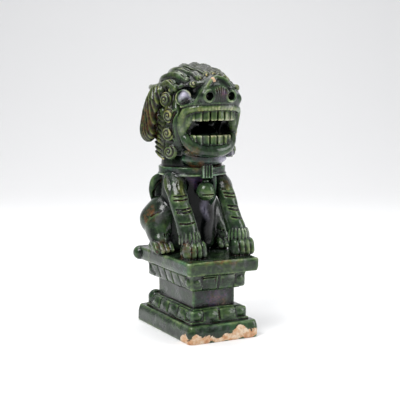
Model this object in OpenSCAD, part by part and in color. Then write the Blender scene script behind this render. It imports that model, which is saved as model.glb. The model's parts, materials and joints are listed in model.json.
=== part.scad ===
// Seated guardian dog on a stepped lotus pedestal, glazed stoneware.
// Every clay member that is luted onto its neighbour is a node of its own.
// Z is up, the dog looks along -Y, and the origin is the centre of the underside.

/* [Pedestal] */
// Width of the foot slab, mm
foot_w = 86; // [60:1:130]
// Depth of the foot slab, mm
foot_d = 138; // [90:1:200]
// Height of the foot slab, mm
foot_h = 19; // [10:0.5:30]
// Height of the lower petal course, mm
lower_h = 15.5; // [8:0.5:25]
// Width of the plain waist, mm
waist_w = 52; // [36:1:80]
// Depth of the plain waist, mm
waist_d = 88; // [60:1:130]
// Height of the plain waist, mm
waist_h = 18.5; // [8:0.5:30]
// Height of the upper petal course, mm
upper_h = 20; // [10:0.5:30]
// Width of the seat slab, mm
seat_w = 88; // [60:1:130]
// Depth of the seat slab, mm
seat_d = 134; // [90:1:200]
// Height of the seat slab, mm
seat_h = 15; // [8:0.5:24]
// Width the lower course spreads past the waist at its foot, mm
lower_flare = 17; // [8:0.5:24]
// Width the upper course spreads past the waist under the seat, mm
upper_flare = 18; // [8:0.5:24]

/* [Clay] */
// Thickness of the hollow clay walls, mm
wall = 7; // [4:0.5:12]
// Radius of the vent from the pedestal into the body, mm
vent_r = 11; // [4:0.5:14]
// Distance of the vent behind the middle, mm
vent_y = 18; // [0:1:22]
// Depth of a tool-cut groove, mm
groove = 1.4; // [0.6:0.1:2.5]

/* [Dog] */
// Height of the dog above its seat, mm
dog_h = 212; // [140:1:280]
// Number of teeth in each row
teeth = 8; // [6:1:10]
// Number of locks swept over the crown
locks = 7; // [3:2:9]
// Number of petals across the front of a course
front_petals = 2; // [2:1:5]
// Number of petals along the side of a course
side_petals = 5; // [3:1:8]

/* [Hidden] */
// The dog is laid out for this height and scaled as a whole from its seat.
drawn_h = 212;
k = dog_h / drawn_h;
lower_z = foot_h;
waist_z = lower_z + lower_h;
upper_z = waist_z + waist_h;
seat_z = upper_z + upper_h;
top_z = seat_z + seat_h;
tooth_gap = 0.35;
fine = 32;
round_n = 16;
mid = 14;
low = 8;
RIGHT = -1;
LEFT = 1;

// ---------- shared shapes ----------

// Joins everything inside into one faceted clay body.
module clay() resize([0, 0, 0]) union() children();

// The dog's own frame: mm from the middle of the seat's top.
module on_seat() translate([0, 0, top_z]) scale(k) children();

module egg(at, r, turn = [0, 0, 0], n = mid)
  translate(at) rotate(turn) scale(r) sphere(r = 1, $fn = n);

module ball(p, n) translate([p[0], p[1], p[2]]) sphere(r = p[3], $fn = n);

// A limb or lock: balls [x, y, z, r] joined one to the next.
module limb(points, n = mid)
  for (i = [0 : len(points) - 2])
    hull() {
      ball(points[i], n);
      ball(points[i + 1], n);
    }

// Stays for the dog's right and is reflected for its left.
module side(s) if (s == RIGHT) children(); else mirror([1, 0, 0]) children();

module soft_slab(w, d, h, r, inset)
  hull() {
    linear_extrude(h * 0.55) rounded_rect(w, d, r);
    linear_extrude(h) rounded_rect(w - 2 * inset, d - 2 * inset, r);
  }

module rounded_rect(w, d, r)
  hull()
    for (x = [-1, 1], y = [-1, 1])
      translate([x * (w / 2 - r), y * (d / 2 - r)]) circle(r, $fn = fine);

module block(w, d, z0, z1) translate([-w / 2, -d / 2, z0]) cube([w, d, z1 - z0]);

module frustum(w0, d0, w1, d1, h)
  hull() {
    block(w0, d0, 0, 0.01);
    block(w1, d1, h - 0.01, h);
  }

// ---------- pedestal ----------

// One cushion-shaped petal, w wide and h tall, standing out by t along -Y.
module petal(w, h, t)
  rotate([90, 0, 0])
    linear_extrude(t, scale = [0.72, 0.72])
      hull() {
        translate([-w / 2, -h / 2]) square([w, h * 0.6]);
        translate([0, h / 2 - w * 0.34]) circle(w * 0.34, $fn = 8);
      }

// Petals round all four faces of a frustum that leans from w0 x d0 to w1 x d1.
module petal_ring(w0, d0, w1, d1, h, t, flip) {
  lean_x = atan2((w0 - w1) / 2, h);
  lean_y = atan2((d0 - d1) / 2, h);
  span_w = (w0 + w1) / 2;
  span_d = (d0 + d1) / 2;
  for (turn = [0, 180])
    rotate([0, 0, turn])
      translate([0, -span_d / 2, h / 2])
        rotate([-lean_y, 0, 0])
          row(span_w, front_petals) petal(span_w / (front_petals + 1) * 0.92, h * flip, t);
  for (turn = [90, 270])
    rotate([0, 0, turn])
      translate([0, -span_w / 2, h / 2])
        rotate([-lean_x, 0, 0])
          row(span_d, side_petals) petal(span_d / (side_petals + 1) * 0.92, h * flip, t);
}

// Copies along X at even steps that leave room for a corner petal at each end.
module row(span, count) {
  step = span / (count + 1);
  for (i = [0 : count - 1])
    translate([(i - (count - 1) / 2) * step, 0, 0]) children();
}

// Rounded petals on the four corners; the two at the rear stand taller by rear.
module corner_petals(w, d, z, r, tall, rear = 1)
  for (x = [-1, 1], y = [-1, 1])
    egg(
      [x * (w / 2 - r * 0.8), y * (d / 2 - r * 0.8), z],
      [r * 1.1, r * 1.1, tall * (y > 0 ? rear : 1)], n = 10
    );

lower_w = waist_w + lower_flare;
lower_d = waist_d + lower_flare + 9;
upper_w = waist_w + upper_flare;
upper_d = waist_d + upper_flare + 7;

module foot_slab() color("darkgreen")
  difference() {
    soft_slab(foot_w, foot_d, foot_h, 11, 4);
    block(foot_w - 4 * wall, foot_d - 4 * wall, -1, foot_h + 1);
  }

module lower_petal_course() color("darkgreen") translate([0, 0, lower_z])
  clay() difference() {
    union() {
      block(lower_w + 2, lower_d + 2, 0, 2.4);
      frustum(lower_w - 3, lower_d - 3, waist_w + 4, waist_d + 8, lower_h);
      intersection() {
        petal_ring(lower_w - 3, lower_d - 3, waist_w + 5, waist_d + 9, lower_h, 3.6, 0.86);
        block(lower_w + 9, lower_d + 9, 1, lower_h);
      }
      intersection() {
        corner_petals(lower_w - 2, lower_d - 2, lower_h * 0.45, 9, lower_h * 0.5, 1.4);
        block(lower_w + 9, lower_d + 9, 0.5, lower_h + 6);
      }
    }
    block(waist_w - 2 * wall, waist_d - 2 * wall, -1, lower_h + 1);
  }

module waist_block() color("darkgreen")
  difference() {
    block(waist_w, waist_d, waist_z, upper_z);
    block(waist_w - 2 * wall, waist_d - 2 * wall, waist_z - 1, upper_z + 1);
  }

module upper_petal_course() color("darkgreen") translate([0, 0, upper_z])
  clay() difference() {
    union() {
      frustum(waist_w + 3, waist_d + 3, upper_w, upper_d, upper_h);
      intersection() {
        petal_ring(waist_w + 3, waist_d + 3, upper_w, upper_d, upper_h, 2.8, 0.8);
        block(seat_w - 2, seat_d - 2, 0, upper_h);
      }
      intersection() {
        corner_petals(upper_w - 3, upper_d - 3, upper_h * 0.55, 9, upper_h * 0.45);
        block(seat_w - 2, seat_d - 2, 0, upper_h);
      }
    }
    block(waist_w - 2 * wall, waist_d - 2 * wall, -1, upper_h + 1);
  }

// The rear edge of the seat ends in a roll a little fatter than the slab.
roll_r = seat_h / 2 + 0.8;

module seat_slab() color("darkgreen")
  difference() {
    union() {
      translate([0, 0, seat_z]) mirror_z(seat_h) soft_slab(seat_w, seat_d, seat_h, 5, 2);
      translate([-seat_w / 2 - 1, seat_d / 2 - roll_r + 1, seat_z + seat_h / 2])
        rotate([0, 90, 0]) cylinder(h = seat_w + 2, r = roll_r, $fn = fine);
    }
    translate([0, vent_y, seat_z - 1]) cylinder(h = seat_h + 2, r = vent_r, $fn = fine);
  }

// Turns a slab of height h upside down in place.
module mirror_z(h) translate([0, 0, h]) mirror([0, 0, 1]) children();

// ---------- dog: plain clay forms, in mm from the seat's top ----------

neck = [0, 9, 102];
chest = [0, 15, 77];
belly = [0, 21, 48];
rump = [0, 24, 25];

module torso_form(skin = 0) {
  r = -skin;
  hull() {
    egg(neck, [34 + r, 35 + r, 22 + r], n = round_n);
    egg(chest, [33 + r, 30 + r, 30 + r], n = round_n);
  }
  hull() {
    egg(chest, [33 + r, 30 + r, 30 + r], n = round_n);
    egg(belly, [31 + r, 31 + r, 34 + r], n = round_n);
  }
  hull() {
    egg(belly, [31 + r, 31 + r, 34 + r], n = round_n);
    egg(rump, [32 + r, 32 + r, 26 + r], n = round_n);
    egg([0, 22, 8 + skin], [30 + r, 31 + r, 10], n = round_n);
  }
}

module ground() translate([-100, -100, -60]) cube([200, 200, 60]);

module haunch_form() {
  hull() {
    egg([-29, 28, 38], [16, 23, 25]);
    egg([-36, 38, 34], [14, 15, 14]);
  }
  hull() {
    egg([-32, 28, 34], [14, 20, 18]);
    egg([-38, 17, 23], [10, 13, 10]);
  }
}

module hind_leg_form() limb([[-38, 28, 22, 9], [-38, 18, 17, 10], [-39, 9, 14, 9]]);

module hind_paw_form() {
  hull() {
    egg([-39, 21, 6], [9, 10, 7.5]);
    egg([-40, 8, 7.5], [12, 9, 8.5]);
  }
  for (i = [0 : 3])
    egg([-49 + 6 * i, 1 - 1.5 * sin(60 * i), 5.5], [3.6, 8, 6], n = low);
}

fore_right = [[-27, -2, 84, 12], [-31, -19.5, 62, 10], [-29, -29.5, 42, 10.2], [-26.5, -34.5, 24, 11]];
fore_left = [[24, -2, 84, 11.5], [28, -21, 64, 9], [30, -28.5, 45, 9.3], [34, -36, 24, 10.4]];

module foreleg_form(s) limb(s == RIGHT ? fore_right : fore_left, 10);

// Middle of each forepaw on the seat; the left one is set further out.
paw_right = [-24, -38.5];
paw_left = [35.5, -39];

module forepaw_form(s) {
  at = s == RIGHT ? paw_right : paw_left;
  translate([at[0], at[1], 0]) {
    egg([0, 1, 11], [13, 11, 12.5], n = mid);
    for (i = [0 : 3])
      egg([-9.6 + 6.4 * i, -5.5 - 1.8 * sin(60 * i), 8.8], [4.4, 6.6, 9], n = 12);
  }
}

// ---------- dog: the head's plain forms ----------

crown_at = [0, 4, 179];
crown_size = [38, 42, 29];
brow_at = [0, -22, 184];
brow_size = [29, 23, 18];
back_at = [0, 11, 152];
back_size = [39, 35, 34];

// Height of an ellipsoid's upper face, and depth of its rear face.
function over(at, size, x, y) =
  at[2] + size[2] * sqrt(max(0, 1 - pow((x - at[0]) / size[0], 2) - pow((y - at[1]) / size[1], 2)));
function behind(at, size, x, z) =
  at[1] + size[1] * sqrt(max(0, 1 - pow((x - at[0]) / size[0], 2) - pow((z - at[2]) / size[2], 2)));
function crown_z(x, y) = max(over(crown_at, crown_size, x, y), over(brow_at, brow_size, x, y));
function nape_y(x, z) = behind(back_at, back_size, x, z);

module skull_form(skin = 0) {
  r = -skin;
  hull() {
    egg(crown_at, [crown_size[0] + r, crown_size[1] + r, crown_size[2] + r], n = round_n);
    egg(brow_at, [brow_size[0] + r, brow_size[1] + r, brow_size[2] + r], n = mid);
    egg(back_at, [back_size[0] + r, back_size[1] + r, back_size[2] + r], n = round_n);
  }
  hull() {
    egg(back_at, [back_size[0] + r, back_size[1] + r, back_size[2] + r], n = round_n);
    egg([0, 7, 124], [37 + r, 33 + r, 20 + r], n = round_n);
  }
}

module mouth_space()
  hull() {
    egg([0, -42, 150], [25, 24, 11.5], n = mid);
    egg([0, -38, 134], [26.5, 24, 11], n = mid);
    egg([0, -8, 142], [23, 10, 12], n = mid);
  }

module muzzle_form() {
  hull() {
    egg([0, -43, 179], [21, 18, 14.5]);
    egg([0, -38, 189], [13, 14, 9]);
  }
  hull() {
    egg([0, -38, 169], [32, 16, 8.5]);
    egg([0, -34, 165], [33, 15, 6]);
  }
  for (x = [-1, 1]) egg([x * 13.5, -50, 176], [9, 9.5, 9]);
  egg([22.5, -45, 172.5], [9.5, 9, 8]);
}

// The lip runs over the teeth and turns down at both mouth corners.
module lip_form()
  for (s = [RIGHT, LEFT])
    side(s)
      limb([
        [0, -52.5, 163.3, 3.6], [-15, -51, 163.3, 3.6], [-26, -45, 162.3, 3.6], [-32, -37, 158.5, 3.9],
        [-33, -31.5, 148, 4.2], [-31, -29, 136, 4.2]
      ], low);

module jaw_form() {
  limb([
    [-29, -28, 133, 4.4], [-25.5, -32.5, 125.5, 4.8], [-17, -38, 118.5, 5.2],
    [0, -42, 116, 5.8],
    [17, -38, 118.5, 5.2], [25.5, -32.5, 125.5, 4.8], [29, -28, 133, 4.4]
  ], 12);
  hull() {
    egg([0, -24, 115], [26, 19, 7]);
    egg([0, -6, 116], [32, 18, 9]);
  }
}

module head_solid() {
  skull_form();
  for (s = [RIGHT, LEFT]) side(s) {
    egg([-33, -17, 150], [7, 12, 22], [0, 0, -18]);
    egg([-30, -14, 128], [7, 11, 12]);
  }
}

module eye_form() egg([-31, -33, 173.5], [7.8, 7.8, 7.8]);

module brow_form() {
  limb([
    [-37, -14, 179, 3], [-34, -22, 184, 3.4], [-28, -31, 187, 3.6],
    [-20, -38, 189, 3.6], [-12, -45, 190, 3.6]
  ], low);
  for (i = [0 : 4])
    egg([-38 + 5.6 * i, -15 - 6 * i, 183.5 + 1.6 * i], [3, 3, 3], n = low);
}

module ear_form() {
  hull() {
    egg([-40, 10, 180], [8, 12, 9]);
    egg([-45, 14, 168], [8, 12, 11]);
  }
  hull() {
    egg([-45, 14, 168], [8, 12, 11]);
    egg([-48, 17.5, 152], [7.5, 14, 14]);
    egg([-50, 19, 137], [8, 14, 12.5]);
  }
}

// A snail curl: a low cone with a raised eye, lying against a face whose normal is -X.
module curl(at, r, turn = [0, 0, 0])
  translate(at) rotate(turn) rotate([0, -90, 0]) {
    translate([0, 0, -2.5]) cylinder(h = 5, r1 = r, r2 = r * 0.72, $fn = 9);
    cylinder(h = 3.6, r1 = r * 0.5, r2 = r * 0.3, $fn = 5);
  }

module mane_form() {
  curl([-40.5, -9, 171], 8.6, [0, 0, 20]);
  curl([-40.5, -17, 154], 8.8, [0, 0, 20]);
  curl([-40, -14, 135], 9, [0, 0, 20]);
  curl([-38, -14, 115], 8.6, [0, 0, 20]);
  for (i = [0 : 4])
    limb([[-41.5, -3, 149 - 9 * i, 2.6], [-43, 12, 156 - 9 * i, 2.6]], 5);
  limb([[-39, 0, 158, 4.5], [-38, -2, 112, 4.5]], 5);
  limb([[-40, 8, 158, 4.5], [-38.5, 9, 112, 4.5]], 5);
  limb([[-37, -10, 172, 6], [-37, -13, 150, 6], [-36, -10, 112, 6]], 5);
}

// One lock lying on the crown at x, swept from the brow to the nape.
module lock(x)
  limb([
    for (y = [-36, -14, 10, 34])
      let (r = 3.6 + 1.5 * cos(2.2 * (y - 2)), sway = 3.2 * sin(5.5 * y + 5 * x))
      [x + sway, y, crown_z(x, y) + 4.6 - r, r]
  ], 5);

// The whole crown of hair is one pad with the locks joined on it.
module crown_form() {
  for (i = [0 : locks - 1]) lock((i - (locks - 1) / 2) * 9.6);
  egg([0, 3, 187], [34, 36, 22], n = 10);
}

module nape_form() {
  for (row = [0 : 2], col = [-1 : 1]) {
    x = col * 15;
    z = 166 - row * 15;
    egg([x, nape_y(x, z) - 1, z], [9.6, 6, 9.2], n = low);
  }
}

module beard_form()
  hull() {
    egg([0, -20, 110], [27, 15, 7]);
    egg([0, -19, 105], [25, 13, 6]);
  }

// ---------- dog: nodes ----------

module torso() color("darkslategray") on_seat()
  clay() difference() {
    torso_form();
    ground();
    torso_form(wall);
    translate([0, vent_y / k, -1]) cylinder(h = wall + 6, r = vent_r / k, $fn = fine);
  }

module haunch(s) color("darkolivegreen") on_seat()
  clay() difference() {
    side(s) haunch_form();
    torso_form();
    ground();
  }

module hind_paw(s) color("olive") on_seat()
  clay() difference() {
    side(s) hind_paw_form();
    torso_form();
    ground();
  }

module hind_leg(s) color("darkolivegreen") on_seat()
  clay() difference() {
    side(s) hind_leg_form();
    side(s) haunch_form();
    side(s) hind_paw_form();
    torso_form();
    ground();
  }

module forepaw(s) color("green") on_seat()
  clay() difference() {
    forepaw_form(s);
    ground();
  }

module foreleg(s) color("seagreen") on_seat()
  clay() difference() {
    foreleg_form(s);
    forepaw_form(s);
    torso_form();
    points = s == RIGHT ? fore_right : fore_left;
    for (j = [1, 2])
      for (i = [0 : 1])
        translate([points[j][0], points[j][1], points[j][2] + 5 * i - 3])
          rotate([12, s * 14, 0])
            rotate_extrude($fn = 12)
              translate([points[j][3] + 0.4, 0]) circle(groove, $fn = 4);
  }

module shoulder_tuft(s) color("yellowgreen") on_seat()
  clay() difference() {
    side(s) translate([s == LEFT ? 4 : 0, 0, 0]) {
      limb([[-29, 2, 90, 4], [-36, -4, 84, 5.4], [-39, -13, 74, 4.6], [-38, -19, 65, 3]], low);
      limb([[-24, -8, 90, 4], [-29, -15, 84, 5.4], [-33, -24, 73, 4]], low);
      limb([[-37, -5, 82, 6], [-34, -16, 80, 6]], low);
    }
    foreleg_form(s);
    torso_form();
  }

module tail() color("darkolivegreen") on_seat()
  clay() difference() {
    tail_form();
    torso_form();
    for (s = [RIGHT, LEFT]) side(s) haunch_form();
    ground();
  }

module back_mane() color("darkgreen") on_seat()
  clay() difference() {
    union() {
      egg([0, 41, 74], [30, 11, 13], n = 12);
      for (i = [-3 : 3])
        limb([
          [i * 9, 43 - abs(i) * 3, 82, 4.5], [i * 10.5, 47 - abs(i) * 2.5, 77, 5.4],
          [i * 10.5, 50 - abs(i) * 1.6, 68, 5.2], [i * 10, 51 - abs(i) * 0.6, 57, 3.4]
        ], 6);
    }
    torso_form();
    collar_form();
    tail_form();
  }

module tail_form() {
  limb([[0, 50, 9, 9], [0, 53.5, 26, 11], [0, 53, 44, 9.5], [0, 51, 60, 6]], mid);
  for (s = [RIGHT, LEFT])
    side(s) limb([[-8, 51, 14, 5], [-15, 51, 28, 5], [-9, 52, 42, 4]], low);
}

collar_y = 9.5;
collar_z = 87.5;
collar_h = 10;

module collar_form() {
  translate([0, collar_y, collar_z]) cylinder(h = collar_h, r = 37.5, $fn = 40);
  translate([0, collar_y, collar_z]) cylinder(h = 2.4, r = 38.8, $fn = 40);
}

module collar() color("teal") on_seat()
  clay() difference() {
    collar_form();
    torso_form();
    head_solid();
    jaw_form();
  }

buckle = [13, 8, 15.5];
buckle_at = [-7.5, -31, 85.5];

module collar_buckle() color("darkolivegreen") on_seat()
  clay() difference() {
    union() {
      translate(buckle_at) cube(buckle);
      for (i = [0 : 3])
        translate(buckle_at + [1.6 + 3.3 * i, 0, 1]) cylinder(h = buckle[2] - 2, r = 1.1, $fn = low);
    }
    collar_form();
    torso_form();
    beard_form();
    jaw_form();
  }

bell_at = [0, -24, 71];
bell_r = 10.5;

module bell_form() translate(bell_at) sphere(r = bell_r, $fn = mid);

module bell() color("limegreen") on_seat()
  clay() difference() {
    bell_form();
    translate(bell_at + [-15, -bell_r - 1, -4.4]) cube([30, bell_r * 0.8, 1.6]);
    torso_form();
  }

module ribbon() color("olivedrab") on_seat()
  clay() difference() {
    limb([[11.5, -21, 84, 3.4], [12, -20, 76, 3.8], [12, -17, 64, 4.2], [12, -14, 56, 3]], low);
    bell_form();
    torso_form();
    collar_form();
    foreleg_form(LEFT);
    translate(buckle_at) cube(buckle);
  }

module head() color("green") on_seat()
  clay() difference() {
    head_solid();
    torso_form();
    skull_form(wall);
    mouth_space();
    translate([0, 9, 108]) scale([22, 20, 1]) cylinder(h = 20, r = 1, $fn = fine);
  }

module muzzle() color("seagreen") on_seat()
  clay() difference() {
    muzzle_form();
    head_solid();
    lip_form();
    mouth_space();
    for (x = [-1, 1]) egg([x * 13.5, -62, 176], [5, 9, 5], n = 12);
  }

module upper_lip() color("mediumseagreen") on_seat()
  clay() difference() {
    lip_form();
    head_solid();
    jaw_form();
  }

module lower_jaw() color("seagreen") on_seat()
  clay() difference() {
    jaw_form();
    head_solid();
    torso_form();
  }

// Depth of the jaw's arch at an angle from its middle.
function arch_y(b, t) = -26 - b * pow(cos(t), 0.6);

// Teeth on a horseshoe a across and b deep over span degrees, tips towards dir.
module tooth_row(count, a, b, span, z, h, r, dir)
  for (i = [0 : count - 1]) {
    t = span * ((i + 0.5) / count - 0.5);
    translate([a * sin(t), arch_y(b, t), z])
      rotate([0, 0, t])
        hull() {
          translate([0, 0, 0]) scale([r, 2.6, 2]) sphere(1, $fn = low);
          translate([0, 0, dir * (h - 2)]) scale([r * 0.8, 2, 2]) sphere(1, $fn = low);
        }
  }

module gum(a, b, span, z, r)
  limb([for (i = [0 : 6]) let (t = span * (i / 6 - 0.5)) [a * sin(t), arch_y(b, t), z, r]], 6);

module upper_teeth() color("lightgray") on_seat()
  clay() difference() {
    union() {
      tooth_row(teeth, 26, 24, 150, 160, 12, 3.4, -1);
      gum(26, 22, 150, 161, 2.8);
    }
    head_solid();
    muzzle_form();
    lip_form();
  }

module lower_teeth() color("lightgray") on_seat()
  clay() difference() {
    union() {
      tooth_row(teeth - 1, 25, 15, 140, 122, 11.5, 3.8, 1);
      gum(25, 14, 140, 122, 3.2);
    }
    jaw_form();
    head_solid();
    torso_form();
  }

module tongue() color("rosybrown") on_seat()
  clay() difference() {
    hull() {
      egg([2, -27, 132.5], [13, 11, 3.4]);
      egg([2, -10, 128], [15, 12, 5]);
    }
    jaw_form();
    difference() {
      head_solid();
      mouth_space();
      skull_form(wall);
    }
    torso_form();
  }

module eye(s) color("slategray") on_seat()
  clay() difference() {
    side(s) eye_form();
    head_solid();
    muzzle_form();
  }

module brow(s) color("olive") on_seat()
  clay() difference() {
    side(s) brow_form();
    head_solid();
    muzzle_form();
    side(s) eye_form();
  }

module ear(s) color("darkslategray") on_seat()
  clay() difference() {
    side(s) ear_form();
    head_solid();
  }

module mane_curls(s) color("olive") on_seat()
  clay() difference() {
    side(s) mane_form();
    head_solid();
    side(s) ear_form();
    side(s) brow_form();
    torso_form();
  }

module crown_locks() color("darkolivegreen") on_seat()
  clay() difference() {
    crown_form();
    head_solid();
    muzzle_form();
    for (s = [RIGHT, LEFT]) side(s) brow_form();
  }

module nape_curls() color("darkolivegreen") on_seat()
  clay() difference() {
    nape_form();
    head_solid();
    crown_form();
    torso_form();
  }

module beard() color("teal") on_seat()
  clay() difference() {
    beard_form();
    head_solid();
    jaw_form();
    torso_form();
    collar_form();
  }

foot_slab();
lower_petal_course();
waist_block();
upper_petal_course();
seat_slab();
torso();
haunch(RIGHT);  // haunch_right
haunch(LEFT);  // haunch_left
hind_leg(RIGHT);  // hind_leg_right
hind_leg(LEFT);  // hind_leg_left
hind_paw(RIGHT);  // hind_paw_right
hind_paw(LEFT);  // hind_paw_left
foreleg(RIGHT);  // foreleg_right
foreleg(LEFT);  // foreleg_left
forepaw(RIGHT);  // forepaw_right
forepaw(LEFT);  // forepaw_left
shoulder_tuft(RIGHT);  // shoulder_tuft_right
shoulder_tuft(LEFT);  // shoulder_tuft_left
tail();
back_mane();
collar();
collar_buckle();
bell();
ribbon();
head();
muzzle();
upper_lip();
lower_jaw();
upper_teeth();
lower_teeth();
tongue();
eye(RIGHT);  // eye_right
eye(LEFT);  // eye_left
brow(RIGHT);  // brow_right
brow(LEFT);  // brow_left
ear(RIGHT);  // ear_right
ear(LEFT);  // ear_left
crown_locks();
mane_curls(RIGHT);  // mane_curls_right
mane_curls(LEFT);  // mane_curls_left
nape_curls();
beard();
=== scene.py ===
"""Glazed stoneware guardian dog on its pedestal.

The clay is modelled as one distance field on a lattice, so that luted members flow into each other.
Each member then becomes a closed mesh of its own: the clay that is nearer to it than to any other.
All lengths are in millimetres until a mesh is made. The dog is laid out in the same frame as its
solids: millimetres from the middle of the seat's top, scaled by the height that the frame gives.
"""

import json
import math

import bpy
import numpy as np
import openvdb
from mathutils import Euler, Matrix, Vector


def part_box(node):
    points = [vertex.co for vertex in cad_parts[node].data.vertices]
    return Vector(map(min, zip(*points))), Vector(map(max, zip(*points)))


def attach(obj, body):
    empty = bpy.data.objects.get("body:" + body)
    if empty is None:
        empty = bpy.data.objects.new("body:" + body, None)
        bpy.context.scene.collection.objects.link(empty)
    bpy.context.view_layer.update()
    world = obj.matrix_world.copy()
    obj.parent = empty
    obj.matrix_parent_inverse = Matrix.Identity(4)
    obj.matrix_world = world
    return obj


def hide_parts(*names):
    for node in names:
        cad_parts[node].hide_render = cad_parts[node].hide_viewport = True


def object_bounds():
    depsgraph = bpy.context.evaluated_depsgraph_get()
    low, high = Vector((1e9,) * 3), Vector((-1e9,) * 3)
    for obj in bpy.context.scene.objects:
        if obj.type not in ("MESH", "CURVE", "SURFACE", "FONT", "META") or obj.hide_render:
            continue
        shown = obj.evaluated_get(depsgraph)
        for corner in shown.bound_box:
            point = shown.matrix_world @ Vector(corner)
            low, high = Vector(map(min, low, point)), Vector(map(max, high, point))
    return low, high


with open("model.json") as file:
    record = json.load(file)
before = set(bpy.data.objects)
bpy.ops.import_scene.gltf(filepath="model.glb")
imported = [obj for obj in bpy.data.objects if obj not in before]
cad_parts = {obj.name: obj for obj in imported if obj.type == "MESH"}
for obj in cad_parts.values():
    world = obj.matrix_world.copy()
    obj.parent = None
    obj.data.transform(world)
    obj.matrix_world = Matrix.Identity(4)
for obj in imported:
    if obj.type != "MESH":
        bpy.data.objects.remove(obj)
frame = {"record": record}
cad_low, cad_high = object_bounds()

# ---------- sizes from the frame ----------

DRAWN_HEIGHT = 212


def box_mm(node):
    """A node's lowest and highest corner, in mm."""
    low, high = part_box(node)
    return np.array(low) * 1000, np.array(high) * 1000


def width(node, axis):
    low, high = box_mm(node)
    return high[axis] - low[axis]


seat_top = box_mm("torso")[0][2]
dog_scale = (box_mm("crown_locks")[1][2] - seat_top) / DRAWN_HEIGHT
foot_top = box_mm("foot_slab")[1][2]
waist_low, waist_high = box_mm("waist_block")
waist_w, waist_d = width("waist_block", 0), width("waist_block", 1)
foot_w, foot_d = width("foot_slab", 0), width("foot_slab", 1)
seat_low = waist_high[2] + width("upper_petal_course", 2)
seat_d = width("seat_slab", 1)
seat_w = width("seat_slab", 0) - 2
wall = 7

# ---------- the lattice ----------

# Spacing of the lattice, how far from the clay its field is kept, how far each member runs past
# its seams, and how freely openvdb may merge flat faces (0 keeps them all).
STEP = 0.7
REACH = 8
LUTE = 0.3
FLATTEN = 0.003

MARGIN = 4
origin = np.floor(np.array(cad_low) * 1000) - MARGIN
top = np.ceil(np.array(cad_high) * 1000) + MARGIN
axes = [np.arange(origin[i], top[i], STEP, dtype=np.float32) for i in range(3)]
size = tuple(len(a) for a in axes)
skin = np.full(size, REACH, np.float32)
near = np.full(size, REACH, np.float32)
after = np.full(size, REACH, np.float32)
owner = np.zeros(size, np.uint8)
rival = np.zeros(size, np.uint8)


def window(low, high):
    """The lattice slices that cover a box, and the coordinates along each axis."""
    first = np.floor((np.array(low) - origin) / STEP).astype(int)
    last = np.ceil((np.array(high) - origin) / STEP).astype(int) + 1
    cut = tuple(
        slice(int(np.clip(first[i], 0, size[i] - 1)), int(np.clip(last[i], 1, size[i])))
        for i in range(3)
    )
    x = axes[0][cut[0]][:, None, None]
    y = axes[1][cut[1]][None, :, None]
    z = axes[2][cut[2]][None, None, :]
    return cut, x, y, z


def soft_min(a, b, soft):
    """The smaller of two fields, rounded over where they are within soft mm of each other."""
    h = np.clip(0.5 + 0.5 * (b - a) / soft, 0, 1)
    return b + (a - b) * h - soft * h * (1 - h)


def soft_max(a, b, soft):
    return -soft_min(-a, -b, soft)


# ---------- shapes: (lowest corner, highest corner, distance function) ----------


def spin(turn):
    """The matrix of a turn given in degrees about X, Y and Z."""
    return np.array(Euler([math.radians(t) for t in turn]).to_matrix())


def local(x, y, z, at, turned):
    """Coordinates about a point, in a turned frame."""
    px, py, pz = x - at[0], y - at[1], z - at[2]
    if turned is None:
        return px, py, pz
    return tuple(turned[0, i] * px + turned[1, i] * py + turned[2, i] * pz for i in range(3))


def egg(at, half, turn=None):
    """An ellipsoid."""
    turned = None if turn is None else spin(turn)
    at, half = np.array(at, float), np.array(half, float)
    reach = half if turned is None else np.abs(turned) @ half

    def distance(x, y, z):
        u, v, w = local(x, y, z, at, turned)
        a = np.sqrt((u / half[0]) ** 2 + (v / half[1]) ** 2 + (w / half[2]) ** 2)
        b = np.sqrt((u / half[0] ** 2) ** 2 + (v / half[1] ** 2) ** 2 + (w / half[2] ** 2) ** 2)
        return a * (a - 1) / np.maximum(b, 1e-6)

    return at - reach, at + reach, distance


def block(at, half, edge=1.0, turn=None):
    """A box with rounded edges."""
    turned = None if turn is None else spin(turn)
    at, half = np.array(at, float), np.array(half, float)
    reach = half if turned is None else np.abs(turned) @ half

    def distance(x, y, z):
        u, v, w = local(x, y, z, at, turned)
        qx, qy, qz = abs(u) - half[0] + edge, abs(v) - half[1] + edge, abs(w) - half[2] + edge
        outer = np.sqrt(np.maximum(qx, 0) ** 2 + np.maximum(qy, 0) ** 2 + np.maximum(qz, 0) ** 2)
        return outer + np.minimum(np.maximum(np.maximum(qx, qy), qz), 0) - edge

    return at - reach, at + reach, distance


def slab(half, low, high, lean, corner, edge):
    """A rounded slab on the middle line, whose sides move in by lean(z) mm at each height."""
    middle, half_z = (high + low) / 2, (high - low) / 2

    def distance(x, y, z):
        qx = abs(x) - half[0] + corner
        qy = abs(y) - half[1] + corner
        flat = np.sqrt(np.maximum(qx, 0) ** 2 + np.maximum(qy, 0) ** 2)
        flat = flat + np.minimum(np.maximum(qx, qy), 0) - corner + lean(z)
        up = abs(z - middle) - half_z
        a, b = flat + edge, up + edge
        return np.sqrt(np.maximum(a, 0) ** 2 + np.maximum(b, 0) ** 2) + np.minimum(np.maximum(a, b), 0) - edge

    return np.array((*-half, low)), np.array((*half, high)), distance


def segment(a, b):
    """A round roll between two points [x, y, z, radius]."""
    a, b = np.array(a, float), np.array(b, float)
    along = b[:3] - a[:3]
    length = max(float(along @ along), 1e-9)
    thick = max(a[3], b[3])

    def distance(x, y, z):
        px, py, pz = x - a[0], y - a[1], z - a[2]
        t = np.clip((px * along[0] + py * along[1] + pz * along[2]) / length, 0, 1)
        gap = np.sqrt((px - t * along[0]) ** 2 + (py - t * along[1]) ** 2 + (pz - t * along[2]) ** 2)
        return gap - (a[3] + t * (b[3] - a[3]))

    return np.minimum(a[:3], b[:3]) - thick, np.maximum(a[:3], b[:3]) + thick, distance


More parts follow.
